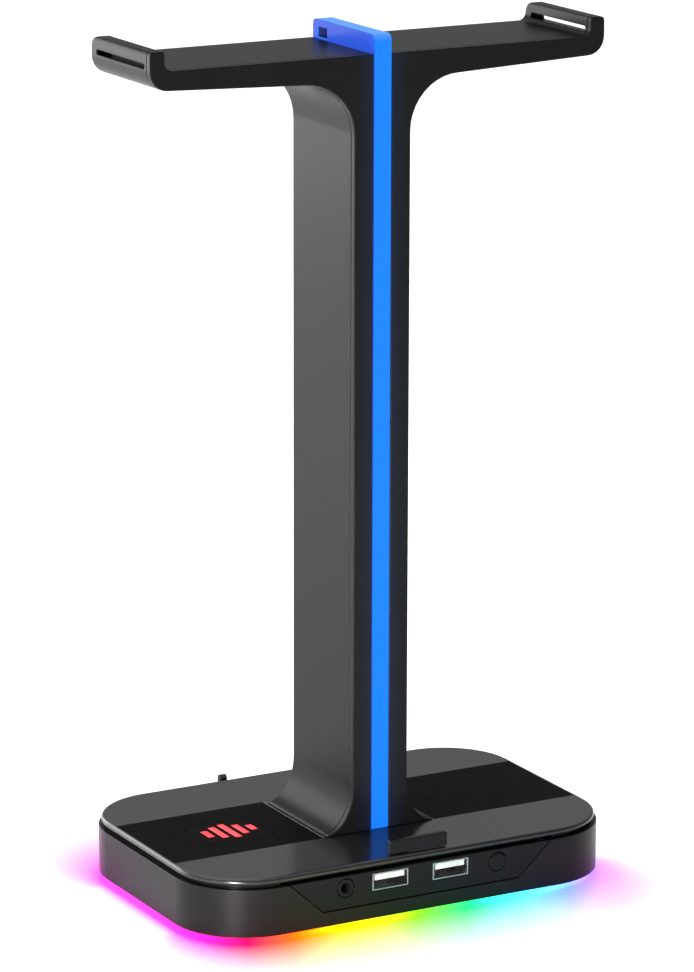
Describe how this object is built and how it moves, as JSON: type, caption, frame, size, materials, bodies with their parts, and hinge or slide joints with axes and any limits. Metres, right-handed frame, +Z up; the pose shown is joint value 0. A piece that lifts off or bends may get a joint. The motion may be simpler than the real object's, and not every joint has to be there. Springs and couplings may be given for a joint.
{
  "type": "headphone stand",
  "caption": "T-shaped desktop headphone stand with a light strip up its column, on a lit base with charging sockets, a headphone jack and a mode button.",
  "frame": {"origin": "on the supporting surface, under the middle of the outer box", "axes": "+Z up along the column, -Y towards the sockets at the front, +X along the arms to the right"},
  "size_m": [0.1626, 0.1058, 0.2824],
  "materials": {
    "satin_black": "satin",
    "gloss_black": "gloss",
    "blue_guide": "diffusing, lit from inside",
    "frosted_white": "frosted",
    "red_lens": "translucent",
    "plated_steel": "plated",
    "dark_steel": "zinc-phosphated",
    "circuit_green": "solder mask",
    "rubber_black": "matt"
  },
  "bodies": {
    "stand": {"base_shell": "satin_black", "base_deck": "satin_black", "deck_spacer": "satin_black", "base_bottom": "satin_black", "column_body": "satin_black", "front_cover_left": "satin_black", "front_cover_right": "satin_black", "deck_band_left": "gloss_black", "deck_band_right": "gloss_black", "front_tab": "gloss_black", "front_panel": "gloss_black", "audio_jack": "gloss_black", "light_guide": "blue_guide", "glow_diffuser": "frosted_white", "column_lead": "frosted_white", "usb_tongue_left": "frosted_white", "usb_tongue_right": "frosted_white", "badge_lens": "red_lens", "usb_shell_left": "plated_steel", "usb_shell_right": "plated_steel", "ballast_plate": "dark_steel", "switch_body": "dark_steel", "column_screw_1": "dark_steel", "column_screw_2": "dark_steel", "column_screw_3": "dark_steel", "column_screw_4": "dark_steel", "base_screw_1": "dark_steel", "base_screw_2": "dark_steel", "base_screw_3": "dark_steel", "base_screw_4": "dark_steel", "glow_board": "circuit_green", "main_board": "circuit_green", "led_strip": "circuit_green", "foot_front_left": "rubber_black", "foot_front_right": "rubber_black", "foot_rear_left": "rubber_black", "foot_rear_right": "rubber_black", "cable_gland": "rubber_black"},
    "mode_key": {"mode_button": "satin_black"}
  },
  "joints": [
    {"name": "mode_press", "type": "slide", "parent": "stand", "child": "mode_key", "axis": [0, 1, 0], "range_m": [0, 0.0006], "stiffness_N_per_m": 2500}
  ]
}
